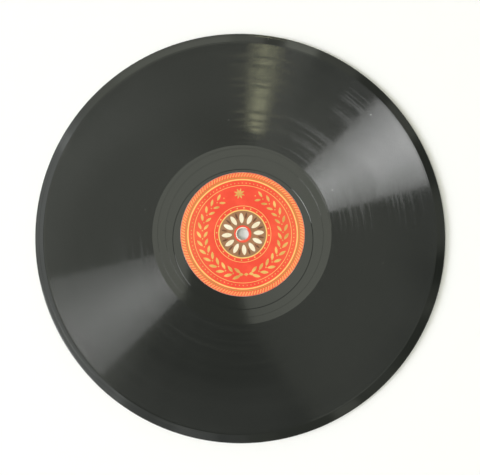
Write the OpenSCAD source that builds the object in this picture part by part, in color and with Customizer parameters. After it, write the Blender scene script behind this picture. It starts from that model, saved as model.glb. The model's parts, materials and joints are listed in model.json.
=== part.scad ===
// Ten-inch laminated shellac record: a coarse core between two sheets of backing paper,
// a fine shellac facing on each paper, and a paper label pressed into each facing.
// Millimetres. +Z is the spindle's axis and +Y the top of side A's label. The origin is
// the middle of the spindle hole on the plane that the record lies on.

/* [Disc] */
// Diameter of the record
record_d = 250; // [200:0.5:300]
// Thickness over the two recorded faces
record_t = 2.2; // [1.8:0.1:3.2]
// Diameter of the spindle hole
hole_d = 7.3; // [6.5:0.05:9]

/* [Layers] */
// Thickness of the fine shellac facing on each side
facing_t = 0.25; // [0.2:0.01:0.4]
// Thickness of the paper under each facing
paper_t = 0.1; // [0.06:0.01:0.2]

/* [Rim] */
// Width of the plain rim outside the recorded band
rim_w = 5.2; // [3:0.1:8]
// Angle at which the rim falls towards the edge, in degrees
rim_slope = 4; // [1:0.5:6]

/* [Label] */
// Diameter of the paper label
label_d = 75.6; // [60:0.2:90]
// Thickness of the label paper
label_t = 0.1; // [0.06:0.01:0.13]
// Depth of the seat that the label is pressed into
seat_depth = 0.15; // [0.13:0.01:0.18]
// Gap all round between the label and the wall of its seat
seat_clearance = 0.1; // [0.05:0.05:0.5]

/* [Groove] */
// Width of the groove at the surface
groove_w = 0.16; // [0.12:0.01:0.3]
// Depth of the groove
groove_depth = 0.08; // [0.05:0.01:0.1]
// Turns drawn across the recorded band, of the 225 that a full side holds
drawn_turns = 24; // [6:1:30]
// Quarter turns that the lead-out makes from the recorded band to the locked groove
leadout_quarters = 7; // [3:4:11]
// Width of the land that the lead-out crosses
leadout_w = 9; // [5:0.5:14]
// Distance of the centre of the locked groove, which closes on itself, from the spindle
locked_offset = 3; // [1:0.1:4]
// Width of the land between the label and the locked groove where they come closest
label_land = 1.8; // [0.8:0.1:4]

/* [Hidden] */
$fn = 180;
record_r = record_d / 2;
hole_r = hole_d / 2;
label_r = label_d / 2;
locked_r = label_r + label_land + locked_offset;
band_r = record_r - rim_w;
core_depth = facing_t + paper_t;
// Radius of the rounded edge that the two sloping faces of the rim run into
edge_r = (record_t / 2 - rim_w * tan(rim_slope)) * cos(rim_slope) / (1 - sin(rim_slope));
edge_steps = 16;
// How far a cutter stands past the face that it cuts
cut_past = 0.1;

// Radii of the groove are whole micrometres, so that each arc ends just where the next starts
function micrometres(length) = round(1000 * length) / 1000;
groove_half_w = micrometres(groove_w / 2 * (1 + cut_past / groove_depth));
turn_arcs = 2 * drawn_turns;
turn_start_r = micrometres(band_r - groove_w);
leadout_end_r = locked_r + locked_offset;
turn_step = micrometres((turn_start_r - leadout_end_r - leadout_w) / turn_arcs);
leadout_start_r = turn_start_r - turn_arcs * turn_step;
leadout_step = micrometres((leadout_start_r - leadout_end_r) / leadout_quarters);

// Height of the upper face above the mid plane, with the rim's slope carried past the edge
function face_z(r) = record_t / 2 - max(0, r - band_r) * tan(rim_slope);

// Half section of the whole record, from the hole to the rounded edge
module section() {
    slope_end = 90 - rim_slope;
    edge = [
        for (i = [0 : edge_steps])
            let (a = slope_end * (1 - 2 * i / edge_steps))
            [record_r - edge_r + edge_r * cos(a), edge_r * sin(a)]
    ];
    polygon(concat(
        [[hole_r, record_t / 2], [band_r, record_t / 2]],
        edge,
        [[band_r, -record_t / 2], [hole_r, -record_t / 2]]
    ));
}

// Line that follows the upper face at a depth below it, from the axis to past the edge
function line_below(depth) = [
    for (r = [0, band_r, record_r + record_t]) [r, face_z(r) - depth]
];

function reversed(points) = [for (i = [len(points) - 1 : -1 : 0]) points[i]];
function mirrored(points) = [for (p = points) [p[0], -p[1]]];

// Solid of the record between two lines of its section
module layer(upper, lower)
    rotate_extrude()
        intersection() {
            section();
            polygon(concat(upper, reversed(lower)));
        }

// One arc of the groove, cut with a V at the upper face
module groove_arc(centre, r, from, sweep)
    translate([centre[0], centre[1], record_t / 2])
        rotate(from)
            rotate_extrude(angle = sweep)
                polygon([
                    [r - groove_half_w, cut_past],
                    [r, -groove_depth],
                    [r + groove_half_w, cut_past]
                ]);

// Centre of arc k of a spiral made of arcs that each shrink by step and start where the last ended
function arc_centre(k, step, sweep) =
    k == 0 ? [0, 0] : arc_centre(k - 1, step, sweep) + step * [cos(k * sweep), sin(k * sweep)];

// Spiral of arcs from angle 0, running inwards anticlockwise as the stylus follows it
module groove_spiral(start_r, step, arcs, sweep)
    for (k = [0 : arcs - 1])
        groove_arc(arc_centre(k, step, sweep), start_r - k * step, k * sweep, sweep);

// The side's one groove: the recorded turns, the lead-out and the locked circle
module groove() {
    groove_spiral(turn_start_r, turn_step, turn_arcs, 180);
    groove_spiral(leadout_start_r, leadout_step, leadout_quarters, 90);
    groove_arc([0, -locked_offset], locked_r, 0, 360);
}

// Seat for the label in the upper facing
module label_seat()
    translate([0, 0, record_t / 2 - seat_depth])
        cylinder(h = seat_depth + cut_past, r = label_r + seat_clearance);

// Places a piece of the upper side, drawn about the mid plane, on side A or turned over on side B
module side_a() translate([0, 0, record_t / 2]) children();
module side_b() side_a() rotate([180, 0, 0]) children();

module core()
    color("#2a2522")
        side_a()
            layer(line_below(core_depth), mirrored(line_below(core_depth)));

module backing_paper()
    color("#b99a6b")
        layer(line_below(facing_t), line_below(core_depth));

module facing()
    color("#161716")
        difference() {
            layer(line_below(-record_t), line_below(facing_t));
            label_seat();
            groove();
        }

module label()
    color("#e8452c")
        translate([0, 0, record_t / 2 - seat_depth])
            difference() {
                cylinder(h = label_t, r = label_r);
                translate([0, 0, -cut_past])
                    cylinder(h = label_t + 2 * cut_past, r = hole_r);
            }

core();
side_a() backing_paper();  // backing_paper_a
side_b() backing_paper();  // backing_paper_b
side_a() facing();  // facing_a
side_b() facing();  // facing_b
side_a() label();  // label_a
side_b() label();  // label_b
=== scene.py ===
import json
import math

import bmesh
import bpy
import numpy as np
from mathutils import Matrix, Vector
from mathutils.geometry import delaunay_2d_cdt


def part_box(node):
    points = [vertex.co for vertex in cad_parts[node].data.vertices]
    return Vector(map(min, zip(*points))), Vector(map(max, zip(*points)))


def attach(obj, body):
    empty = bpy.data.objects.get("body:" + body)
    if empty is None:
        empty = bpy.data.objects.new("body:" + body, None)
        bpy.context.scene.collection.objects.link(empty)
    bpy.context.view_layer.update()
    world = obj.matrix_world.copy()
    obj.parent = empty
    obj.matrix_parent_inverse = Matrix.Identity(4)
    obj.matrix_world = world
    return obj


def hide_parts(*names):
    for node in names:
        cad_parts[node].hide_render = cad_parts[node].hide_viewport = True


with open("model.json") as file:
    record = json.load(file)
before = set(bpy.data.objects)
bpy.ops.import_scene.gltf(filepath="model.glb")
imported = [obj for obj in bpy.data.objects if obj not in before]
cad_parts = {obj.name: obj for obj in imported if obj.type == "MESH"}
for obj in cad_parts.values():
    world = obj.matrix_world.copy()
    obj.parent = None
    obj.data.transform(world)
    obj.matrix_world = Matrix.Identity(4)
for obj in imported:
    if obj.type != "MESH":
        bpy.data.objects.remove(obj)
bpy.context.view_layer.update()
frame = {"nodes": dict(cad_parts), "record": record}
scene = bpy.context.scene

MM = 0.001
FULL_TURN = 2 * math.pi

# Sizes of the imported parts
record_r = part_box("core")[1].x
record_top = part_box("facing_a")[1].z
record_mid = record_top / 2
facing_tip_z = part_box("facing_a")[0].z
facing_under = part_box("backing_paper_a")[1].z
core_tip_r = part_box("backing_paper_a")[1].x
core_tip_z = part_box("backing_paper_a")[0].z
core_top = facing_under - (facing_tip_z - core_tip_z)
label_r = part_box("label_a")[1].x
label_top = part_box("label_a")[1].z
seat_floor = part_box("label_a")[0].z
mounts = {mount["name"]: mount for mount in frame["record"]["mounts"]}
hole_r = mounts["spindle_hole"]["dims"]["r_mm"] * MM

# Rim and land sizes, as in the part's source
RIM_W = 5.2 * MM
RIM_SLOPE = math.radians(4)
SEAT_GAP = 0.1 * MM
LABEL_LAND = 1.8 * MM
LOCKED_OFFSET = 3 * MM
LEADOUT_W = 9 * MM
LEADOUT_TURNS = 1.75

band_r = record_r - RIM_W
seat_r = label_r + SEAT_GAP
locked_r = label_r + LABEL_LAND + LOCKED_OFFSET
leadout_end_r = locked_r + LOCKED_OFFSET
runout_r = leadout_end_r + LEADOUT_W
edge_r = (record_mid - RIM_W * math.tan(RIM_SLOPE)) * math.cos(RIM_SLOPE) / (1 - math.sin(RIM_SLOPE))
edge_centre_r = record_r - edge_r
edge_top_r = edge_centre_r + edge_r * math.sin(RIM_SLOPE)
edge_top_z = record_mid + edge_r * math.cos(RIM_SLOPE)

# Groove of a recorded side: lines of vertices and segments to a turn, turns, and its section
LINES = 3
SEGMENTS = 136
TURNS = 225
GROOVE_SHARE = 0.7
FLANK_SLOPE = math.radians(30)
LAND_MARGIN = 0.05 * MM

# The first turns open from a share of the full groove
OPENING_TURNS = 2.0
OPENING_SHARE = 0.3

# Groove at the outer border of the band: its outer flank and its whole width
BORDER_FLANK_W = 0.19 * MM
BORDER_W = 0.23 * MM

# Grooves on the plain lands, each a path of steps whose ends taper over a few of them
TAPER_STEPS = 4
LEADOUT_GROOVE_W = 0.14 * MM
LEADOUT_INSET = 0.45 * MM
LEADOUT_STEPS = 250
LEADOUT_CUT_STEPS = 240
LOCKED_GROOVE_W = 0.42 * MM
LOCKED_STEPS = 144

# The lead-in closes in slowly round the rim and then turns in to the band
LEADIN_GROOVE_W = 0.23 * MM
LEADIN_FLANK_SLOPE = math.radians(25)
LEADIN_FROM = math.radians(70)
LEADIN_SWEEP = math.radians(155)
LEADIN_STEPS = 80
LEADIN_ENTRY_SWEEP = math.radians(37)
LEADIN_ENTRY_STEPS = 20
LEADIN_INSET = 0.5 * MM
LEADIN_TURN_W = 2.16 * MM
LEADIN_END_W = 0.3 * MM

# The recorded band lies a little off the spindle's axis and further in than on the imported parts
BAND_SHIFT = Vector((-0.216, -0.08)) * MM
BORDER_INSET = 0.07 * MM
BAND_END_INSET = 0.25 * MM
border_r = band_r - BORDER_INSET
band_end_r = runout_r - BAND_END_INSET

# Chamfer of the label's seat, rounding of the label, and thickness and sink of its print
SEAT_CHAMFER = 0.05 * MM
LABEL_ROUND = 0.03 * MM
PRINT_T = 0.018 * MM
PRINT_SINK = 0.005 * MM
PRINT_WELD = 0.0005 * MM


# Node trees, written as expressions


class Wire:
    """An output socket. Arithmetic on it adds Math nodes to its tree."""

    def __init__(self, graph, socket):
        self.graph = graph
        self.socket = socket

    def out(self, name):
        """Another output of the same node."""
        return Wire(self.graph, self.socket.node.outputs[name])

    def __add__(self, other):
        return self.graph.maths("ADD", self, other)

    __radd__ = __add__

    def __sub__(self, other):
        return self.graph.maths("SUBTRACT", self, other)

    def __rsub__(self, other):
        return self.graph.maths("SUBTRACT", other, self)

    def __mul__(self, other):
        return self.graph.maths("MULTIPLY", self, other)

    __rmul__ = __mul__

    def __truediv__(self, other):
        return self.graph.maths("DIVIDE", self, other)

    def __pow__(self, other):
        return self.graph.maths("POWER", self, other)

    def __mod__(self, other):
        return self.graph.maths("FLOORED_MODULO", self, other)

    def __abs__(self):
        return self.graph.maths("ABSOLUTE", self)


class Graph:
    """A node tree that is filled by calls."""

    def __init__(self, tree):
        self.tree = tree

    def node(self, kind, settings=None, sockets=None, output=0):
        """Adds a node: its settings first, then the values or wires of its sockets."""
        made = self.tree.nodes.new(kind)
        for name, value in (settings or {}).items():
            setattr(made, name, value)
        for key, value in (sockets or {}).items():
            if isinstance(value, Wire):
                self.tree.links.new(value.socket, made.inputs[key])
            else:
                made.inputs[key].default_value = value
        return Wire(self, made.outputs[output])

    def maths(self, operation, *values):
        return self.node("ShaderNodeMath", {"operation": operation}, dict(enumerate(values)))

    def ease(self, value, start, end):
        """0 where value is at start, 1 where it is at end, smooth between."""
        return self.node(
            "ShaderNodeMapRange",
            {"interpolation_type": "SMOOTHSTEP"},
            {"Value": value, "From Min": start, "From Max": end},
        )

    def between(self, value, low, high, soft):
        """1 where value lies from low to high, 0 outside, with soft edges."""
        return self.ease(value, low - soft, low) * self.ease(value, high + soft, high)

    def sector(self, x, y, reach, middle, half_width, soft):
        """1 where (x, y), of length reach, points within so many degrees of a direction, softly else 0."""
        at = math.radians(middle)
        aligned = (x * math.cos(at) + y * math.sin(at)) / reach
        inner = math.cos(math.radians(half_width))
        outer = math.cos(math.radians(half_width + soft))
        return self.ease(aligned, outer, inner)

    def blend(self, share, first, second):
        """Colour that goes from the first to the second as share goes from 0 to 1."""
        return self.node(
            "ShaderNodeMix",
            {"data_type": "RGBA"},
            {"Factor": share, 6: first, 7: second},
            output=2,
        )

    def noise(self, place, scale, detail=2.0, roughness=0.5):
        return self.node(
            "ShaderNodeTexNoise",
            sockets={"Vector": place, "Scale": scale, "Detail": detail, "Roughness": roughness},
        )

    def vector(self, x, y, z):
        return self.node("ShaderNodeCombineXYZ", sockets={"X": x, "Y": y, "Z": z})


class Finish(Graph):
    """A material on the record, with places on it in millimetres from the spindle's axis."""

    def __init__(self, name):
        self.material = bpy.data.materials.new(name)
        self.material.use_nodes = True
        super().__init__(self.material.node_tree)
        self.shader = self.tree.nodes["Principled BSDF"]
        self.place = self.node("ShaderNodeTexCoord", output="Object")
        split = self.node("ShaderNodeSeparateXYZ", sockets={"Vector": self.place})
        self.x = split.out("X") / MM
        self.y = split.out("Y") / MM
        self.r = self.maths("SQRT", self.x * self.x + self.y * self.y)
        self.reach = self.maths("MAXIMUM", self.r, 0.1)

    def angle(self):
        return self.maths("ARCTAN2", self.y, self.x)

    def round_place(self, along, across):
        """Place for noise that runs round the disc: along counts per radian, across per millimetre."""
        return self.vector(self.x / self.reach * along, self.y / self.reach * along, self.r * across)

    def arc(self, middle, half_width, soft):
        """1 within so many degrees of a direction from the spindle, 0 beyond a soft edge."""
        return self.sector(self.x, self.y, self.reach, middle, half_width, soft)

    def flat_place(self, scale):
        """Place for noise that takes no note of the groove's depth, in so many features per millimetre."""
        return self.vector(self.x * scale, self.y * scale, 0.0)

    def feed(self, **sockets):
        """Sets or links sockets of the shader, with spaces in their names written as underscores."""
        for name, value in sockets.items():
            socket = self.shader.inputs[name.replace("_", " ")]
            if isinstance(value, Wire):
                self.tree.links.new(value.socket, socket)
            else:
                socket.default_value = value

    def bump(self, height, strength, distance):
        return self.node(
            "ShaderNodeBump",
            sockets={"Height": height, "Strength": strength, "Distance": distance},
        )


class Recipe(Graph):
    """A Geometry Nodes tree with named inputs, which makes plain meshes."""

    def __init__(self, name, inputs):
        super().__init__(bpy.data.node_groups.new(name, "GeometryNodeTree"))
        self.identifiers = {}
        for label, kind in {**inputs, "Material": "NodeSocketMaterial"}.items():
            socket = self.tree.interface.new_socket(label, in_out="INPUT", socket_type=kind)
            self.identifiers[label] = socket.identifier
        self.tree.interface.new_socket("Geometry", in_out="OUTPUT", socket_type="NodeSocketGeometry")
        self.given = self.tree.nodes.new("NodeGroupInput")

    def value(self, label):
        return Wire(self, self.given.outputs[label])

    def ends_in(self, geometry):
        real = self.node("GeometryNodeRealizeInstances", sockets={"Geometry": geometry})
        coated = self.node(
            "GeometryNodeSetMaterial",
            sockets={"Geometry": real, "Material": self.value("Material")},
        )
        end = self.tree.nodes.new("NodeGroupOutput")
        self.tree.links.new(coated.socket, end.inputs["Geometry"])

    def make(self, values):
        """Plain mesh that the tree gives with these values."""
        holder = bpy.data.objects.new(self.tree.name, bpy.data.meshes.new(self.tree.name))
        scene.collection.objects.link(holder)
        modifier = holder.modifiers.new(self.tree.name, "NODES")
        modifier.node_group = self.tree
        for label, value in values.items():
            modifier[self.identifiers[label]] = value
        graph = bpy.context.evaluated_depsgraph_get()
        made = bpy.data.meshes.new_from_object(holder.evaluated_get(graph))
        bpy.data.objects.remove(holder)
        return made


def spiral_band_recipe():
    """The recorded band: three lines to a turn, for the groove's outer edge, bottom and inner edge."""
    recipe = Recipe(
        "spiral groove",
        {
            "Turns": "NodeSocketInt",
            "Segments": "NodeSocketInt",
            "Outer radius": "NodeSocketFloat",
            "Pitch": "NodeSocketFloat",
            "Groove share": "NodeSocketFloat",
            "Opening turns": "NodeSocketFloat",
            "Depth": "NodeSocketFloat",
            "Face height": "NodeSocketFloat",
        },
    )
    columns = recipe.value("Segments") + 1.0
    grid = recipe.node(
        "GeometryNodeMeshGrid",
        sockets={"Vertices X": recipe.value("Turns") * LINES + 1.0, "Vertices Y": columns},
    )
    index = recipe.node("GeometryNodeInputIndex")
    line = recipe.maths("FLOOR", index / columns)
    column = index % columns
    part = line % LINES
    share_of_turn = column / recipe.value("Segments")
    turn = recipe.maths("FLOOR", line / LINES) + share_of_turn
    angle = share_of_turn * FULL_TURN
    opened = recipe.ease(turn, 0.0, recipe.value("Opening turns"))
    opening = OPENING_SHARE + (1.0 - OPENING_SHARE) * opened
    share = recipe.value("Groove share") * opening
    radius = recipe.value("Outer radius") - recipe.value("Pitch") * (turn + part * share / 2.0)
    at_bottom = recipe.maths("COMPARE", part, 1.0, 0.5)
    place = recipe.vector(
        radius * recipe.maths("COSINE", angle),
        radius * recipe.maths("SINE", angle),
        recipe.value("Face height") - recipe.value("Depth") * opening * at_bottom,
    )
    recipe.ends_in(
        recipe.node("GeometryNodeSetPosition", sockets={"Geometry": grid, "Position": place})
    )
    return recipe


def printed_ring_recipe():
    """A ring or row of one printed motif: bead, leaf, petal or diamond, as its corners and point say."""
    recipe = Recipe(
        "printed ring",
        {
            "Count": "NodeSocketInt",
            "Centre": "NodeSocketVector",
            "Radius": "NodeSocketFloat",
            "Start": "NodeSocketFloat",
            "Step": "NodeSocketFloat",
            "Turn": "NodeSocketFloat",
            "Taper": "NodeSocketFloat",
            "Corners": "NodeSocketInt",
            "Length": "NodeSocketFloat",
            "Width": "NodeSocketFloat",
            "Point": "NodeSocketFloat",
            "Thickness": "NodeSocketFloat",
        },
    )
    index = recipe.node("GeometryNodeInputIndex")
    outline = recipe.node(
        "GeometryNodeMeshCircle",
        {"fill_type": "NGON"},
        {"Vertices": recipe.value("Corners"), "Radius": 1.0},
    )
    way = index / recipe.value("Corners") * FULL_TURN
    side = recipe.maths("SINE", way)
    shape = recipe.vector(
        recipe.value("Length") * recipe.maths("COSINE", way) / 2.0,
        recipe.value("Width") * side * abs(side) ** recipe.value("Point") / 2.0,
        0.0,
    )
    flat = recipe.node("GeometryNodeSetPosition", sockets={"Geometry": outline, "Position": shape})
    raised = recipe.node(
        "GeometryNodeExtrudeMesh",
        {"mode": "FACES"},
        {"Mesh": flat, "Offset Scale": recipe.value("Thickness")},
    )
    back = recipe.node("GeometryNodeFlipFaces", sockets={"Mesh": flat})
    both = recipe.node("GeometryNodeJoinGeometry", sockets={"Geometry": raised})
    recipe.tree.links.new(back.socket, both.socket.node.inputs["Geometry"])
    motif = recipe.node(
        "GeometryNodeMergeByDistance", sockets={"Geometry": both, "Distance": PRINT_WELD}
    )
    angle = recipe.value("Start") + recipe.value("Step") * index
    radial = recipe.vector(recipe.maths("COSINE", angle), recipe.maths("SINE", angle), 0.0)
    place = recipe.node(
        "ShaderNodeVectorMath",
        {"operation": "MULTIPLY_ADD"},
        {0: radial, 1: recipe.value("Radius"), 2: recipe.value("Centre")},
    )
    points = recipe.node(
        "GeometryNodePoints", sockets={"Count": recipe.value("Count"), "Position": place}
    )
    spin = recipe.node(
        "FunctionNodeEulerToRotation",
        sockets={"Euler": recipe.vector(0.0, 0.0, angle + recipe.value("Turn"))},
    )
    size = 1.0 - recipe.value("Taper") * index / recipe.value("Count")
    placed = recipe.node(
        "GeometryNodeInstanceOnPoints",
        sockets={
            "Points": points,
            "Instance": motif,
            "Rotation": spin,
            "Scale": recipe.vector(size, size, 1.0),
        },
    )
    recipe.ends_in(placed)
    return recipe


# Meshes


def ring(work, r, z, segments=SEGMENTS, shift=Vector((0.0, 0.0))):
    """Circle of vertices about the spindle's axis or a place beside it, starting on +X."""
    angles = [FULL_TURN * i / segments for i in range(segments)]
    return [work.verts.new((r * math.cos(a) + shift.x, r * math.sin(a) + shift.y, z)) for a in angles]


def join_rings(work, first, second):
    for i in range(len(first)):
        after = (i + 1) % len(first)
        work.faces.new((first[i], first[after], second[after], second[i]))


def edge_points(start, end, step=math.radians(2.5)):
    """Points (r, z) of the rounded edge, from one angle about its centre to another."""
    count = math.ceil(abs(end - start) / step)
    points = []
    for i in range(count + 1):
        angle = start + (end - start) * i / count
        r = edge_centre_r + edge_r * math.cos(angle)
        points.append((r, record_mid + edge_r * math.sin(angle)))
    return points


def smooth_mesh(work, name, material, sharp_from):
    """Ends a bmesh as a plain mesh: outward faces, smooth but for edges above an angle in degrees."""
    bmesh.ops.recalc_face_normals(work, faces=work.faces)
    mesh = bpy.data.meshes.new(name)
    work.to_mesh(mesh)
    work.free()
    mesh.polygons.foreach_set("use_smooth", [True] * len(mesh.polygons))
    mesh.set_sharp_from_angle(angle=math.radians(sharp_from))
    mesh.materials.clear()
    mesh.materials.append(material)
    return mesh


def turned_piece(name, section, material, segments=240, sharp_from=20):
    """Closed ring turned from a section, a list of (r, z)."""
    work = bmesh.new()
    rings = [ring(work, r, z, segments) for r, z in section]
    for i in range(len(rings)):
        join_rings(work, rings[i], rings[(i + 1) % len(rings)])
    return smooth_mesh(work, name, material, sharp_from)


def add_bake_map(mesh):
    """Flat UV map named OFBake: the upper side fills the square and the lower lies in a corner of it."""
    lower_share = 0.08
    downward = -0.01
    spots = np.empty(len(mesh.vertices) * 3)
    mesh.vertices.foreach_get("co", spots)
    corners = np.empty(len(mesh.loops), dtype=int)
    mesh.loops.foreach_get("vertex_index", corners)
    flat = spots.reshape(-1, 3)[corners, :2] / (2 * record_r)
    sizes = np.empty(len(mesh.polygons), dtype=int)
    mesh.polygons.foreach_get("loop_total", sizes)
    normals = np.empty(len(mesh.polygons) * 3)
    mesh.polygons.foreach_get("normal", normals)
    up = np.repeat(normals.reshape(-1, 3)[:, 2] > downward, sizes)[:, None]
    uv = np.where(up, flat + 0.5, flat * 2 * lower_share + lower_share)
    mesh.uv_layers.new(name="OFBake").data.foreach_set("uv", uv.ravel())


def face_height(place):
    """Height of the upper face: level, then falling along the rim from the band to the rounded edge."""
    rim_r = border_r + BAND_SHIFT.dot(place.normalized())
    share = max(0.0, place.length - rim_r) / (edge_top_r - rim_r)
    return record_top - share * (record_top - edge_top_z)


def spiral_path(start_r, end_r, start_angle, sweep, steps):
    """Radii and angles of a spiral, as a list of pairs."""
    shares = [i / steps for i in range(steps + 1)]
    return [(start_r + (end_r - start_r) * share, start_angle + sweep * share) for share in shares]


def spiral_groove(path, width, slope):
    """Groove along a spiral, as lines of (place, depth): its tips, outer edge, bottom and inner edge."""
    half = width / 2

    def line(points, offset, depth):
        return [
            (Vector(((r + offset) * math.cos(a), (r + offset) * math.sin(a))), depth) for r, a in points
        ]

    tips = [line([path[0]], 0, 0)[0], line([path[-1]], 0, 0)[0]]
    body = path[TAPER_STEPS:-TAPER_STEPS]
    deep = half * math.tan(slope)
    sides = [line(body, half, 0), line(body, 0, deep), line(body, -half, 0)]
    return [[tips[0], *side, tips[1]] for side in sides]


def locked_groove():
    """Groove that closes on itself, off the spindle's axis, as its outer edge, bottom and inner edge."""
    half = LOCKED_GROOVE_W / 2
    deep = half * math.tan(FLANK_SLOPE)
    lines = []
    for offset, depth in ((half, 0), (0, deep), (-half, 0)):
        r = locked_r + offset
        angles = [FULL_TURN * i / LOCKED_STEPS for i in range(LOCKED_STEPS)]
        circle = [(Vector((r * math.cos(a), r * math.sin(a) - LOCKED_OFFSET)), depth) for a in angles]
        lines.append([*circle, circle[0]])
    return lines


def grooved_land(work, outer, inner, grooves):
    """Land between two rings of vertices, cut along the lines of its grooves."""
    key_digits = 6
    weld_reach = 1e-6
    spots = [vert.co.xy / MM for vert in outer + inner]
    heights = [vert.co.z for vert in outer + inner]
    edges = []
    for start in (0, len(outer)):
        edges.extend((start + i, start + (i + 1) % len(outer)) for i in range(len(outer)))
    for groove in grooves:
        places = {}
        for line in groove:
            indices = []
            for place, depth in line:
                key = (round(place.x / MM, key_digits), round(place.y / MM, key_digits))
                if key not in places:
                    places[key] = len(spots)
                    spots.append(place / MM)
                    heights.append(face_height(place) - depth)
                indices.append(places[key])
            edges.extend(zip(indices, indices[1:]))

    made_spots, _, faces, sources, _, _ = delaunay_2d_cdt(spots, edges, [], 0, weld_reach)
    kept = outer + inner
    verts = []
    for spot, source in zip(made_spots, sources):
        if source[0] < len(kept):
            verts.append(kept[source[0]])
        else:
            verts.append(work.verts.new((spot.x * MM, spot.y * MM, heights[source[0]])))
    inside = set(inner)
    for face in faces:
        corners = [verts[i] for i in face]
        if not inside.issuperset(corners):
            work.faces.new(corners)


def grooved_facing(recipe, material):
    """Side A's facing: rim, recorded band, run-out land and label seat, closed underneath."""
    outer_r = border_r - BORDER_W - LAND_MARGIN
    inner_r = band_end_r + LAND_MARGIN
    pitch = (outer_r - inner_r) / (TURNS + 1)
    depth = pitch * GROOVE_SHARE / 2 * math.tan(FLANK_SLOPE)
    band = recipe.make(
        {
            "Turns": TURNS,
            "Segments": SEGMENTS,
            "Outer radius": outer_r,
            "Pitch": pitch,
            "Groove share": GROOVE_SHARE,
            "Opening turns": OPENING_TURNS,
            "Depth": depth,
            "Face height": record_top,
            "Material": material,
        }
    )
    work = bmesh.new()
    work.from_mesh(band)
    bpy.data.meshes.remove(band)
    bmesh.ops.translate(work, verts=work.verts, vec=BAND_SHIFT.to_3d())
    work.verts.ensure_lookup_table()
    columns = SEGMENTS + 1
    lines = [work.verts[i * columns : (i + 1) * columns] for i in range(LINES * TURNS + 1)]

    # Each line runs on into the line of the next turn
    joined = {lines[i][-1]: lines[i + LINES][0] for i in range(len(lines) - LINES)}
    bmesh.ops.weld_verts(work, targetmap=joined)
    first, last = lines[0], lines[-1]
    first_end = lines[LINES][0]
    groove_start = (first[0], lines[1][0], lines[2][0])
    groove_end = (last[0], lines[-3][-1], lines[-2][-1])
    work.faces.new(groove_start)
    work.faces.new((groove_end[0], groove_end[2], groove_end[1]))

    border_bottom_z = record_top - BORDER_FLANK_W * math.tan(FLANK_SLOPE)
    rim_inner = ring(work, border_r, record_top, shift=BAND_SHIFT)
    border_bottom = ring(work, border_r - BORDER_FLANK_W, border_bottom_z, shift=BAND_SHIFT)
    border = ring(work, border_r - BORDER_W, record_top, shift=BAND_SHIFT)
    join_rings(work, rim_inner, border_bottom)
    join_rings(work, border_bottom, border)
    for i in range(SEGMENTS - 1):
        work.faces.new((border[i], border[i + 1], first[i + 1], first[i]))
    work.faces.new((border[-1], border[0], first[0], groove_start[2], first_end, first[-2]))

    land_outer = ring(work, band_end_r, record_top, shift=BAND_SHIFT)
    work.faces.new((last[0], last[1], land_outer[1], land_outer[0], last[-1], groove_end[2]))
    for i in range(1, SEGMENTS):
        work.faces.new((last[i], last[i + 1], land_outer[(i + 1) % SEGMENTS], land_outer[i]))

    seat_edge = ring(work, seat_r + SEAT_CHAMFER, record_top)
    leadout_sweep = LEADOUT_TURNS * FULL_TURN
    leadout = spiral_path(band_end_r - LEADOUT_INSET, leadout_end_r, 0, leadout_sweep, LEADOUT_STEPS)
    leadout_groove = spiral_groove(leadout[:LEADOUT_CUT_STEPS], LEADOUT_GROOVE_W, FLANK_SLOPE)
    grooved_land(work, land_outer, seat_edge, [leadout_groove, locked_groove()])

    tip_angle = math.asin((facing_tip_z - record_mid) / edge_r)
    section = [
        (seat_r, record_top - SEAT_CHAMFER),
        (seat_r, seat_floor),
        (hole_r, seat_floor),
        (hole_r, facing_under),
        (band_r, facing_under),
    ]
    section += edge_points(tip_angle, math.pi / 2 - RIM_SLOPE)
    before = seat_edge
    for r, z in section:
        here = ring(work, r, z)
        join_rings(work, before, here)
        before = here
    turn_r = band_r + LEADIN_TURN_W
    turn_angle = LEADIN_FROM + LEADIN_SWEEP
    end_r = band_r + LEADIN_END_W
    leadin = spiral_path(edge_top_r - LEADIN_INSET, turn_r, LEADIN_FROM, LEADIN_SWEEP, LEADIN_STEPS)
    entry = spiral_path(turn_r, end_r, turn_angle, LEADIN_ENTRY_SWEEP, LEADIN_ENTRY_STEPS)
    leadin_groove = spiral_groove(leadin + entry[1:], LEADIN_GROOVE_W, LEADIN_FLANK_SLOPE)
    grooved_land(work, before, rim_inner, [leadin_groove])
    mesh = smooth_mesh(work, "grooved facing", material, sharp_from=3)
    add_bake_map(mesh)
    return mesh


def core_section():
    """Half section of the core stock, with its share of the rounded edge."""
    tip_angle = math.asin((core_tip_z - record_mid) / edge_r)
    core_under = record_top - core_top
    return [
        (hole_r, core_under),
        (hole_r, core_top),
        (band_r, core_top),
        *edge_points(tip_angle, -tip_angle),
        (band_r, core_under),
    ]


def label_section():
    """Half section of a label, with its upper edges rounded."""
    return [
        (hole_r, seat_floor),
        (hole_r, label_top - LABEL_ROUND),
        (hole_r + LABEL_ROUND, label_top),
        (hole_r + 3 * LABEL_ROUND, label_top),
        (label_r - 4 * LABEL_ROUND, label_top),
        (label_r - 2 * LABEL_ROUND, label_top),
        (label_r - LABEL_ROUND / 2, label_top - LABEL_ROUND / 2),
        (label_r, label_top - 2 * LABEL_ROUND),
        (label_r, seat_floor),
    ]


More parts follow.
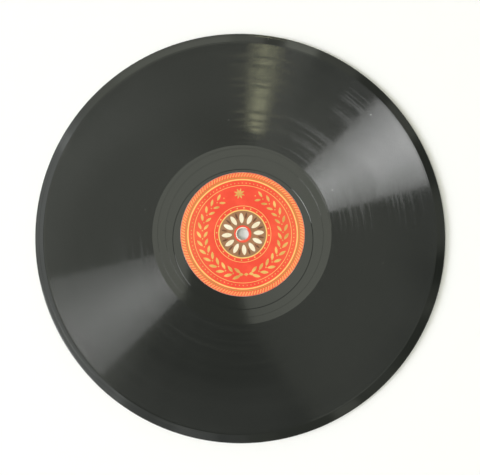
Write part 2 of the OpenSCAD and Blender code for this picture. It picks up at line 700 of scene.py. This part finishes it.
def printed_mesh(recipe, name, rows, material):
    """All the motifs of one ink on side A's label, as one mesh. Sizes in millimetres and degrees."""
    work = bmesh.new()
    for row in rows:
        count = row["count"]
        part = recipe.make(
            {
                "Count": count,
                "Centre": (0.0, row.get("up", 0.0) * MM, label_top - PRINT_SINK),
                "Radius": row["radius"] * MM,
                "Start": math.radians(row["start"]),
                "Step": math.radians(row.get("sweep", 360.0) / count),
                "Turn": math.radians(row.get("turn", 0.0)),
                "Taper": row.get("taper", 0.0),
                "Corners": row.get("corners", 16),
                "Length": row["length"] * MM,
                "Width": row["width"] * MM,
                "Point": row.get("point", 0.0),
                "Thickness": PRINT_T,
                "Material": material,
            }
        )
        work.from_mesh(part)
        bpy.data.meshes.remove(part)
    return smooth_mesh(work, name, material, sharp_from=20)


def beads(count, radius, start, size, **more):
    """Row of round beads."""
    bead = {"length": size, "width": size, "corners": 12}
    return {"count": count, "radius": radius, "start": start, **bead, **more}


def gold_rows():
    """Wreath of two branches, open at the top, with a star, a tie of diamonds and rings of beads."""
    ray = {"length": 3.3, "width": 1.1, "corners": 8, "point": 1.0}
    diamond = {"length": 2.9, "width": 2.0, "corners": 4}
    rows = [
        beads(84, 31.2, 0.0, 0.62),
        {"count": 8, "up": 24.8, "radius": 1.7, "start": 22.5, **ray},
        {"count": 3, "radius": 24.6, "start": -97.0, "sweep": 21.0, "turn": 90.0, **diamond},
        beads(24, 15.9, 7.5, 0.9),
    ]
    for way in (1.0, -1.0):
        start = -90.0 + way * 13.0
        sweep = way * 150.0
        leaves = {"count": 13, "start": start, "sweep": sweep, "taper": 0.22, "point": 0.8}
        rows.append({**leaves, "radius": 26.6, "turn": way * 58.0, "length": 5.4, "width": 1.9})
        rows.append({**leaves, "radius": 22.6, "turn": way * 122.0, "length": 5.0, "width": 1.8})
        rows.append(beads(13, 24.6, start + way * 5.5, 0.9, sweep=sweep, taper=0.2))
    return rows


def cream_rows():
    """Twelve petals round the spindle hole."""
    petal = {"length": 6.4, "width": 2.7, "point": 0.35, "corners": 20}
    return [{"count": 12, "radius": 9.7, "start": 0.0, **petal}]


def brown_rows():
    """Slim petals that show between the cream ones."""
    petal = {"length": 4.2, "width": 1.2, "point": 0.8}
    return [{"count": 12, "radius": 11.3, "start": 15.0, **petal}]


# Finishes

# Roughness of the pressed shellac, and what the groove, its wear and handling add to it
FACE_ROUGH = 0.045
GROOVE_ROUGH = 0.015
WORN_ROUGH = 0.13
LOUD_ROUGH = 0.21
HAZE_ROUGH = 0.02
SCUFF_ROUGH = 0.012
DUST_ROUGH = 0.5

SHELLAC_DEEP = (0.0040, 0.0052, 0.0042, 1.0)
SHELLAC_PALE = (0.0098, 0.0112, 0.0092, 1.0)
SCUFF_GREY = (0.03, 0.03, 0.027, 1.0)
DUST_GREY = (0.2, 0.19, 0.17, 1.0)
CORE_DEEP = (0.018, 0.016, 0.0145, 1.0)
CORE_PALE = (0.036, 0.032, 0.029, 1.0)
CORE_FLECK = (0.09, 0.08, 0.07, 1.0)
KRAFT_DEEP = (0.21, 0.135, 0.07, 1.0)
KRAFT_PALE = (0.36, 0.25, 0.14, 1.0)
SOAKED_DEEP = (0.014, 0.012, 0.01, 1.0)
SOAKED_PALE = (0.034, 0.027, 0.02, 1.0)

# Rings in which loud passages show, as radii from and to in millimetres, and their soft edge
INNER_LOUD = (58.0, 79.0)
OUTER_LOUD = (92.0, 112.0)
LOUD_SOFT = 3.0

# Sectors in which they show most: ring, then direction, half width and soft edge in degrees, how much
LOUD_SECTORS = (
    (INNER_LOUD, 53.8, 11.0, 5.0, 0.66),
    (OUTER_LOUD, 44.4, 3.0, 4.0, 0.45),
    (INNER_LOUD, 184.3, 8.0, 5.0, 0.65),
)

# Turns that play has worn, as radii from and to in millimetres and how much
WORN_TURNS = (
    (65.7, 66.8, 0.35),
    (69.9, 71.2, 0.7),
    (74.8, 76.4, 0.85),
    (84.6, 86.0, 0.5),
    (91.1, 92.8, 0.75),
    (94.2, 102.6, 0.4),
    (103.4, 105.8, 0.75),
    (110.1, 111.1, 0.8),
)
WORN_SOFT = 0.5


def linear(red, green, blue):
    """Linear colour of a screen colour from 0 to 255."""

    def channel(value):
        share = value / 255
        return share / 12.92 if share <= 0.04045 else ((share + 0.055) / 1.055) ** 2.4

    return (channel(red), channel(green), channel(blue), 1.0)


def shellac_finish():
    """Pressed black shellac: glossy, with loud passages, worn turns, fine scuffs and a little dust."""
    finish = Finish("pressed shellac")
    r = finish.r
    in_band = finish.between(r, runout_r / MM, band_r / MM, 0.1)

    # Loud passages scatter the light more along the groove than the rest of the band
    inner_ring = finish.between(r, *INNER_LOUD, LOUD_SOFT)
    outer_ring = finish.between(r, *OUTER_LOUD, LOUD_SOFT)
    share = 0.15 + 0.85 * inner_ring + 0.45 * outer_ring
    share = share * (0.25 + 0.15 * finish.arc(5.3, 6.0, 4.0))
    for radii, middle, half_width, soft, amount in LOUD_SECTORS:
        in_ring = finish.between(r, *radii, LOUD_SOFT)
        share = share + amount * in_ring * finish.arc(middle, half_width, soft)
    passages = finish.noise(finish.round_place(1.2, 0.75), 1.0)
    loud = finish.ease(passages, 0.49, 0.61) * share

    # So do the turns that play has worn, most of all on one side
    turns = finish.noise(finish.round_place(0.3, 0.38), 1.0, 4.0, 0.6)
    worn = finish.ease(turns, 0.45, 0.65) * 0.3
    for start, end, amount in WORN_TURNS:
        worn = worn + finish.between(r, start, end, WORN_SOFT) * amount
    worn = worn * (0.1 + finish.arc(78.3, 10.0, 6.0))

    def scuffs(turn, along, across, start, end):
        """Straight scuffs in one direction, in features per millimetre along and across it."""
        place = finish.node(
            "ShaderNodeMapping",
            sockets={
                "Vector": finish.flat_place(1.0),
                "Rotation": (0.0, 0.0, turn),
                "Scale": (along, across, 1.0),
            },
        )
        return finish.ease(finish.noise(place, 1.0, 1.0), start, end)

    # Handling: broad haze, fine scuffs and specks of dust
    haze = finish.ease(finish.noise(finish.flat_place(0.035), 1.0, 3.0, 0.55), 0.5, 0.75)
    long_scuffs = scuffs(0.6, 0.03, 2.2, 0.74, 0.8)
    cross_scuffs = scuffs(-0.9, 0.04, 2.6, 0.76, 0.82)
    marks = finish.maths("MAXIMUM", long_scuffs, cross_scuffs)
    cells = finish.node(
        "ShaderNodeTexVoronoi",
        {"voronoi_dimensions": "2D"},
        {"Vector": finish.flat_place(1.0), "Scale": 0.035, "Randomness": 1.0},
        output="Distance",
    )
    chosen = finish.node("ShaderNodeSeparateColor", sockets={"Color": cells.out("Color")}, output="Red")
    dust = finish.ease(cells, 0.008, 0.004) * finish.ease(chosen, 0.84, 0.86)

    body = finish.blend(turns, SHELLAC_DEEP, SHELLAC_PALE)
    scuffed = finish.blend(marks * 0.12, body, SCUFF_GREY)
    play = GROOVE_ROUGH + WORN_ROUGH * worn + LOUD_ROUGH * loud
    handling = HAZE_ROUGH * haze + SCUFF_ROUGH * marks + DUST_ROUGH * dust
    ripple = finish.noise(finish.flat_place(0.25), 1.0)
    finish.feed(
        Base_Color=finish.blend(dust, scuffed, DUST_GREY),
        Roughness=FACE_ROUGH + in_band * play + handling,
        IOR=1.7,
        Anisotropic=0.85,
        Normal=finish.bump(ripple, 0.25, 0.02 * MM),
    )
    return finish.material


def core_finish():
    """Coarse, mineral-filled core stock."""
    finish = Finish("core stock")
    grain = finish.noise(finish.place, 5200.0, 4.0, 0.65)
    flecks = finish.ease(finish.noise(finish.place, 2600.0, 1.0), 0.66, 0.74)
    body = finish.blend(grain, CORE_DEEP, CORE_PALE)
    finish.feed(
        Base_Color=finish.blend(flecks * 0.6, body, CORE_FLECK),
        Roughness=0.38 + 0.2 * grain,
        IOR=1.54,
        Normal=finish.bump(grain, 0.4, 0.02 * MM),
    )
    return finish.material


def backing_finish():
    """Kraft paper, darkened where the pressed shellac has soaked in at the edge."""
    finish = Finish("resin-soaked backing paper")
    fibres = finish.noise(finish.round_place(40.0, 6.0), 1.0, 4.0, 0.6)
    soaked = finish.ease(finish.r, (core_tip_r - 3 * MM) / MM, (core_tip_r - 1 * MM) / MM)
    paper = finish.blend(fibres, KRAFT_DEEP, KRAFT_PALE)
    dark = finish.blend(fibres, SOAKED_DEEP, SOAKED_PALE)
    finish.feed(
        Base_Color=finish.blend(soaked, paper, dark),
        Roughness=0.85 - soaked * 0.4 + 0.1 * fibres,
        Normal=finish.bump(fibres, 0.3, 0.02 * MM),
    )
    return finish.material


RED = linear(254, 88, 60)
DEEP_RED = linear(246, 74, 50)
ORANGE = linear(248, 118, 74)
GOLD = linear(255, 212, 124)
OLIVE_GOLD = linear(206, 150, 70)
CREAM = linear(250, 242, 218)
TAN = linear(190, 140, 98)
BROWN = linear(128, 88, 62)
DARK_CREAM = linear(236, 216, 176)
PETAL_BROWN = linear(120, 78, 54)
DEEP_BROWN = linear(96, 60, 42)
WHITE = (1.0, 1.0, 1.0, 1.0)
FIBRE_SHADE = (0.9, 0.89, 0.88, 1.0)

# Rings printed on the label, as radii from and to in millimetres, and the rows of its dashed border
DASHED_BORDER = (35.2, 37.3)
DASH_ROW_W = 0.7
DASHES_PER_RADIAN = 130.0
DARK_LINE = (34.25, 34.75)
DOUBLE_LINE = (32.95, 33.65)
OUTER_HAIRLINE = (29.6, 29.8)
INNER_HAIRLINE = (17.05, 17.25)
INNER_LINE = (14.25, 14.85)
MEDAL = (5.3, 14.3)


def paper_grain(finish):
    """Fine fibres and broad clouds of an old printed paper."""
    fibres = finish.noise(finish.flat_place(5.0), 1.0, 4.0, 0.65)
    clouds = finish.noise(finish.flat_place(0.09), 1.0, 3.0, 0.55)
    return fibres, clouds


def ink_wear(finish, fibres):
    """Share of the ink that has been rubbed off, in specks that follow the paper's fibres."""
    rubbed = finish.noise(finish.flat_place(0.5), 1.0, 4.0, 0.7)
    return finish.ease(rubbed * 0.7 + fibres * 0.3, 0.54, 0.68)


def label_finish():
    """Red label paper with printed rings and a painted sheen, more orange towards its left and right
    sides, worn to bare paper round the spindle hole and the edge.
    """
    finish = Finish("printed label paper")
    r = finish.r
    fibres, clouds = paper_grain(finish)
    wear = ink_wear(finish, fibres)

    # Painted sheen: the paper turns more orange towards its left and right sides; the fibres add a little
    # orange of their own
    painted_sheen_sideways = finish.ease(abs(finish.x), 12.0, 37.0)
    red = finish.blend(finish.ease(clouds, 0.35, 0.7), DEEP_RED, RED)
    red = finish.blend(painted_sheen_sideways * 0.55 + finish.ease(fibres, 0.55, 0.8) * 0.15, red, ORANGE)

    # Border of fine dashes in three rows, between the dark line and the edge
    rows = (r - DASHED_BORDER[0]) / DASH_ROW_W
    row = finish.maths("FLOOR", rows)
    dashes = finish.maths("SINE", finish.angle() * DASHES_PER_RADIAN + row * (math.pi / 2))
    across = abs(rows - row - 0.5)
    in_border = finish.between(r, *DASHED_BORDER, 0.05)
    border = finish.ease(dashes - across * 1.6, -0.75, -0.35) * in_border

    keep = 1.0 - wear * 0.45
    double_line = finish.between(r, *DOUBLE_LINE, 0.12)
    dark_line = finish.between(r, *DARK_LINE, 0.12)
    inner_line = finish.between(r, *INNER_LINE, 0.1)
    hairlines = finish.between(r, *INNER_HAIRLINE, 0.08) + finish.between(r, *OUTER_HAIRLINE, 0.08)
    medal = finish.between(r, *MEDAL, 0.05)

    colour = finish.blend(medal * (1.0 - wear * 0.2), red, finish.blend(clouds, BROWN, TAN))
    colour = finish.blend(border * keep * 0.6, colour, GOLD)
    colour = finish.blend(dark_line * keep, colour, OLIVE_GOLD)
    gold = finish.maths("MINIMUM", double_line + inner_line + hairlines, 1.0)
    colour = finish.blend(gold * keep, colour, GOLD)

    # Bare paper where the spindle and the sleeve have rubbed
    ragged = finish.noise(finish.round_place(5.0, 0.0), 1.0, 3.0, 0.6)
    bare_hole = finish.ease(r - ragged * 0.9, hole_r / MM + 0.25, hole_r / MM + 0.05)
    bare_edge = finish.ease(r + ragged * 0.35, label_r / MM - 0.02, label_r / MM + 0.12)
    bare_hole = bare_hole * (0.1 + 0.9 * finish.arc(150.0, 75.0, 50.0))
    bare = finish.maths("MAXIMUM", bare_hole, bare_edge * 0.7)
    colour = finish.blend(bare, colour, CREAM)
    shade = finish.blend(finish.ease(fibres, 0.3, 0.75), FIBRE_SHADE, WHITE)
    colour = finish.node(
        "ShaderNodeMix",
        {"data_type": "RGBA", "blend_type": "MULTIPLY"},
        {"Factor": 1.0, 6: colour, 7: shade},
        output=2,
    )
    finish.feed(
        Base_Color=colour,
        Roughness=0.52 + 0.16 * fibres - gold * 0.1,
        Metallic=gold * keep * 0.15,
        IOR=1.45,
        Normal=finish.bump(fibres + clouds * 6.0, 0.35, 0.012 * MM),
    )
    return finish.material


def ink_finish(name, light, dark, metallic):
    """Printing ink on the label, rubbed through to the red here and there."""
    finish = Finish(name)
    fibres, clouds = paper_grain(finish)
    wear = ink_wear(finish, fibres)
    ink = finish.blend(finish.ease(clouds + fibres * 0.4, 0.4, 1.0), dark, light)
    finish.feed(
        Base_Color=finish.blend(wear * 0.5, ink, ORANGE),
        Roughness=0.46 + 0.18 * fibres,
        Metallic=metallic * (1.0 - wear),
        IOR=1.45,
        Normal=finish.bump(fibres, 0.3, 0.01 * MM),
    )
    return finish.material


# The record's pieces


def turned_over(mesh):
    """Copy of a mesh of side A, turned over about the X axis to side B."""
    copy = mesh.copy()
    copy.transform(Matrix.Translation((0, 0, record_top)) @ Matrix.Rotation(math.pi, 4, "X"))
    return copy


def add_piece(name, mesh, slot, *nodes):
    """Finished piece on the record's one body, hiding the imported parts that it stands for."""
    mesh.name = name
    piece = bpy.data.objects.new(name, mesh)
    scene.collection.objects.link(piece)
    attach(piece, "root")
    if nodes:
        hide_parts(*nodes)


def add_both_sides(name, mesh, slot, node=None):
    for side, half in (("a", mesh), ("b", turned_over(mesh))):
        nodes = [f"{node}_{side}"] if node else []
        add_piece(f"{name}_{side}", half, slot, *nodes)


def build_record():
    facing = grooved_facing(spiral_band_recipe(), shellac_finish())
    add_both_sides("grooved_facing", facing, "shellac", "facing")
    core = turned_piece("edge core", core_section(), core_finish())
    add_piece("edge_core", core, "core_stock", "core")
    backing = backing_finish()
    for node in ("backing_paper_a", "backing_paper_b"):
        frame["nodes"][node].data.materials.clear()
        frame["nodes"][node].data.materials.append(backing)
    paper = turned_piece("label", label_section(), label_finish())
    add_both_sides("paper_label", paper, "label_paper", "label")
    motifs = printed_ring_recipe()
    inks = (
        ("gold_print", gold_rows(), ink_finish("gold ink", GOLD, OLIVE_GOLD, 0.15)),
        ("cream_print", cream_rows(), ink_finish("cream ink", CREAM, DARK_CREAM, 0.0)),
        ("brown_print", brown_rows(), ink_finish("brown ink", PETAL_BROWN, DEEP_BROWN, 0.0)),
    )
    for name, rows, ink in inks:
        add_both_sides(name, printed_mesh(motifs, name, rows, ink), "label_paper")


# Stage, light and camera

# Angles round the record are measured in the picture, which is turned a little against the label
PICTURE_TURN = math.radians(4.7)
LIGHTS_AWAY = 8.0
DAYLIGHT = (0.985, 1.0, 0.99)
WARM_LIGHT = (1.0, 1.0, 0.62)
SOFT_LIGHT = (0.97, 1.0, 1.15)

FLOOR_R = 1.6
FLOOR_DROP = 0.02 * MM
FLOOR_COLOUR = (0.945, 0.925, 0.89, 1.0)

# Levels of the room: ceiling, the cove round it, the walls and the pale horizon
CEILING = 1.17
COVE = 0.25
COVE_LEFT = 0.87
WALL = 0.185
WALL_LEFT = 0.101
WALL_GLOW = 0.607
HORIZON = 0.7

# Where one part of the room gives way to the next, in degrees from the zenith
CEILING_TO_COVE = (15.0, 23.0)
COVE_TO_WALL = (31.0, 42.0)
WALL_TO_HORIZON = (79.0, 85.0)

CEILING_TINT = (0.966, 1.0, 0.862, 1.0)
COOL_TINT = (0.966, 1.0, 0.965, 1.0)
WALL_TINT = (0.965, 1.0, 0.93, 1.0)

# Lighter and darker stretches of the cove, which the rim mirrors: azimuth, half width and how much
COVE_TONES = (
    (10.5, 7.5, 0.18),
    (23.0, 5.0, -0.06),
    (38.5, 4.0, 0.32),
    (60.0, 3.8, 0.31),
    (71.0, 3.0, 0.3),
    (129.0, 6.0, -0.17),
    (143.8, 0.4, 0.5),
    (158.0, 18.0, 0.13),
    (232.0, 0.5, 0.2),
    (239.5, 5.0, -0.15),
    (242.5, 7.5, -0.17),
    (260.0, 5.0, 0.2),
    (272.5, 1.5, 0.13),
    (280.0, 4.0, 0.08),
    (308.5, 2.5, 0.36),
    (321.0, 4.0, 0.09),
    (337.0, 4.0, -0.06),
    (349.0, 2.5, 0.14),
    (356.0, 6.0, -0.12),
)
COVE_SOFT = 3.0

# Low lights on the right, which the outer turns mirror: azimuth, half width, soft edge and how much
RIGHT_GLOWS = (
    (322.0, 20.0, 14.0, 0.3),
    (345.0, 7.0, 6.0, 0.22),
    (4.0, 5.0, 5.0, 0.27),
)


def add_floor():
    """Pale table top, a little below the record."""
    work = bmesh.new()
    bmesh.ops.create_circle(work, cap_ends=True, segments=96, radius=FLOOR_R)
    bmesh.ops.translate(work, verts=work.verts, vec=(0, 0, -FLOOR_DROP))
    mesh = bpy.data.meshes.new("table top")
    work.to_mesh(mesh)
    work.free()
    finish = Finish("pale table top")
    finish.feed(Base_Color=FLOOR_COLOUR, Roughness=0.9, Specular_IOR_Level=0.1)
    mesh.materials.append(finish.material)
    floor = bpy.data.objects.new("table_top", mesh)
    scene.collection.objects.link(floor)


def add_pane(name, azimuth, half_width, low, high, radiance, colour, crest=0.0, crest_at=0.5):
    """Upright soft light that faces the spindle's axis, between two heights in degrees above the table.

    It is brighter by the share crest at the share crest_at of its width than at its sides.
    """
    side = LIGHTS_AWAY * math.tan(math.radians(half_width))
    bottom = LIGHTS_AWAY * math.tan(math.radians(low))
    top = LIGHTS_AWAY * math.tan(math.radians(high))
    light = bpy.data.lights.new(name, "AREA")
    light.shape = "RECTANGLE"
    light.size = 2 * side
    light.size_y = top - bottom
    light.energy = radiance * math.pi * light.size * light.size_y
    light.color = colour
    light.use_nodes = True
    glow = Graph(light.node_tree)
    spot = glow.node("ShaderNodeNewGeometry", output="Parametric")
    from_crest = abs(glow.node("ShaderNodeSeparateXYZ", sockets={"Vector": spot}) - crest_at)
    strength = 1.0 + crest * glow.ease(from_crest, max(crest_at, 1.0 - crest_at), 0.0)
    glow.tree.links.new(strength.socket, glow.tree.nodes["Emission"].inputs["Strength"])
    lamp = bpy.data.objects.new(name, light)
    angle = math.radians(azimuth) - PICTURE_TURN
    inward = Vector((-math.cos(angle), -math.sin(angle), 0))
    lamp.rotation_euler = inward.to_track_quat("-Z", "Y").to_euler()
    lamp.location = inward * -LIGHTS_AWAY + Vector((0, 0, (bottom + top) / 2))
    lamp.visible_camera = False
    scene.collection.objects.link(lamp)
    return lamp


def add_lights():
    """Tall window in three rows, a narrow warm strip, and a soft box that the gloss does not mirror."""
    add_pane(
        "window top row", azimuth=206.75, half_width=16.45, low=48.4, high=57.2,
        radiance=4.9, colour=DAYLIGHT, crest=1.2, crest_at=0.475,
    )
    add_pane(
        "window middle row", azimuth=207.35, half_width=17.05, low=37.5, high=48.4,
        radiance=4.46, colour=DAYLIGHT, crest=0.9,
    )
    add_pane(
        "window low row", azimuth=207.0, half_width=17.0, low=5.7, high=27.0,
        radiance=2.05, colour=DAYLIGHT, crest=1.6, crest_at=0.58,
    )
    add_pane(
        "warm strip", azimuth=81.1, half_width=5.6, low=5.1, high=15.3,
        radiance=2.0, colour=WARM_LIGHT, crest=4.6,
    )
    soft_box = add_pane(
        "soft box", azimuth=188.0, half_width=18.0, low=15.0, high=31.0,
        radiance=15.3, colour=SOFT_LIGHT,
    )
    soft_box.visible_glossy = False


def add_room():
    """Soft room: bright ceiling with a cove that is paler on the left, dim walls and a white horizon."""
    world = bpy.data.worlds.new("soft room")
    world.use_nodes = True
    scene.world = world
    room = Graph(world.node_tree)
    way = room.node("ShaderNodeTexCoord", output="Generated")
    split = room.node("ShaderNodeSeparateXYZ", sockets={"Vector": way})
    x = split.out("X") * math.cos(PICTURE_TURN) - split.out("Y") * math.sin(PICTURE_TURN)
    y = split.out("X") * math.sin(PICTURE_TURN) + split.out("Y") * math.cos(PICTURE_TURN)
    zenith = room.maths("DEGREES", room.maths("ARCCOSINE", split.out("Z")))
    level = room.maths("MAXIMUM", room.maths("SQRT", x * x + y * y), 0.001)

    def towards(azimuth, half_width, soft):
        """1 within so many degrees of an azimuth in the picture, 0 beyond a soft edge."""
        return room.sector(x, y, level, azimuth, half_width, soft)

    def mix(share, first, second):
        return room.node("ShaderNodeMix", sockets={"Factor": share, 2: first, 3: second})

    cove_left = room.maths("MAXIMUM", towards(123.0, 55.0, 3.0), towards(180.0, 33.0, 68.0))
    cove = COVE + cove_left * COVE_LEFT
    for azimuth, half_width, amount in COVE_TONES:
        cove = cove + towards(azimuth, half_width, COVE_SOFT) * amount
    bar = room.maths("MAXIMUM", towards(77.8, 2.0, 1.2) * 0.62, towards(83.0, 5.0, 2.0) * 0.25)
    cove = cove * (1.0 - bar * room.between(zenith, 24.0, 40.0, 2.0))

    # Walls, with low lights that the grooves mirror
    glow = room.maths("MAXIMUM", towards(163.0, 30.0, 30.0), towards(62.0, 12.0, 10.0) * 1.2)
    glow = glow + towards(76.0, 4.0, 8.0) * 0.6
    left_glow = towards(175.0, 85.0, 15.0) * (0.5 + 0.5 * towards(168.0, 25.0, 22.0))
    front_glow = towards(250.0, 28.0, 18.0) * 0.5
    wall = WALL + towards(158.0, 90.0, 16.0) * WALL_LEFT + towards(233.0, 6.0, 5.0) * 0.15
    wall = wall + glow * WALL_GLOW * room.ease(zenith, 58.0, 78.0)
    wall = wall + left_glow * room.ease(zenith, 74.0, 78.5)
    wall = wall + front_glow * room.ease(zenith, 70.0, 75.0)
    for azimuth, half_width, soft, amount in RIGHT_GLOWS:
        wall = wall + towards(azimuth, half_width, soft) * amount * room.ease(zenith, 75.0, 79.0)

    in_wall = room.ease(zenith, *COVE_TO_WALL)
    light = mix(room.ease(zenith, *CEILING_TO_COVE), CEILING, cove)
    light = mix(in_wall, light, wall)
    light = mix(room.ease(zenith, *WALL_TO_HORIZON), light, HORIZON)

    # Dim shape that widens from overhead towards the lower edge of the picture
    across = zenith * x / level
    along = zenith * y / level

    def past(start_across, start_along, way_across, way_along):
        """Degrees that a place overhead lies past a straight edge through a point."""
        return (across - start_across) * way_across + (along - start_along) * way_along

    near_left = past(-3.5, -0.2, 0.99, -0.137)
    far_left = past(-3.9, -2.5, 0.8075, -0.59)
    near_right = past(2.3, -3.0, -0.958, -0.287)
    far_right = past(2.4, -4.4, -0.8415, -0.5402)
    right_of_left_edge = room.maths("MAXIMUM", near_left, far_left)
    left_of_right_edge = room.maths("MAXIMUM", near_right, far_right)
    inside = room.ease(right_of_left_edge, -0.4, 0.4) * room.ease(along, 0.6, -0.2)
    dim = inside * room.ease(left_of_right_edge, -0.6, 0.6) * 0.76
    fading = inside * room.ease(left_of_right_edge, -6.0, 0.0) * 0.14
    light = light * (1.0 - room.maths("MAXIMUM", dim, fading) * room.ease(zenith, 23.0, 17.0))
    cool_side = towards(205.0, 62.0, 18.0) * room.ease(zenith, 21.0, 25.0)
    tint = room.blend(in_wall, room.blend(cool_side, CEILING_TINT, COOL_TINT), WALL_TINT)
    background = room.tree.nodes["Background"]
    room.tree.links.new(light.socket, background.inputs["Strength"])
    room.tree.links.new(tint.socket, background.inputs["Color"])


CAMERA_AT = Vector((-14.461, -20.823, 334.58)) * MM
CAMERA_AIM = Vector((-1.838, -1.95, 0.0)) * MM
PICTURE_UP = Vector((0.0818, 0.9949, 0.0592))
LENS_MM = 41.27
SENSOR_MM = 36.0
NEAREST_SEEN = 0.01


def add_camera():
    lens = bpy.data.cameras.new("camera")
    lens.lens = LENS_MM
    lens.sensor_width = SENSOR_MM
    lens.clip_start = NEAREST_SEEN
    camera = bpy.data.objects.new("camera", lens)
    back = (CAMERA_AT - CAMERA_AIM).normalized()
    right = PICTURE_UP.cross(back).normalized()
    up = back.cross(right)
    turn = Matrix((right, up, back)).transposed()
    camera.matrix_world = Matrix.Translation(CAMERA_AT + Vector((0, 0, record_mid))) @ turn.to_4x4()
    scene.collection.objects.link(camera)
    scene.camera = camera


build_record()
add_floor()
add_lights()
add_room()
add_camera()
scene.view_settings.view_transform = "Standard"
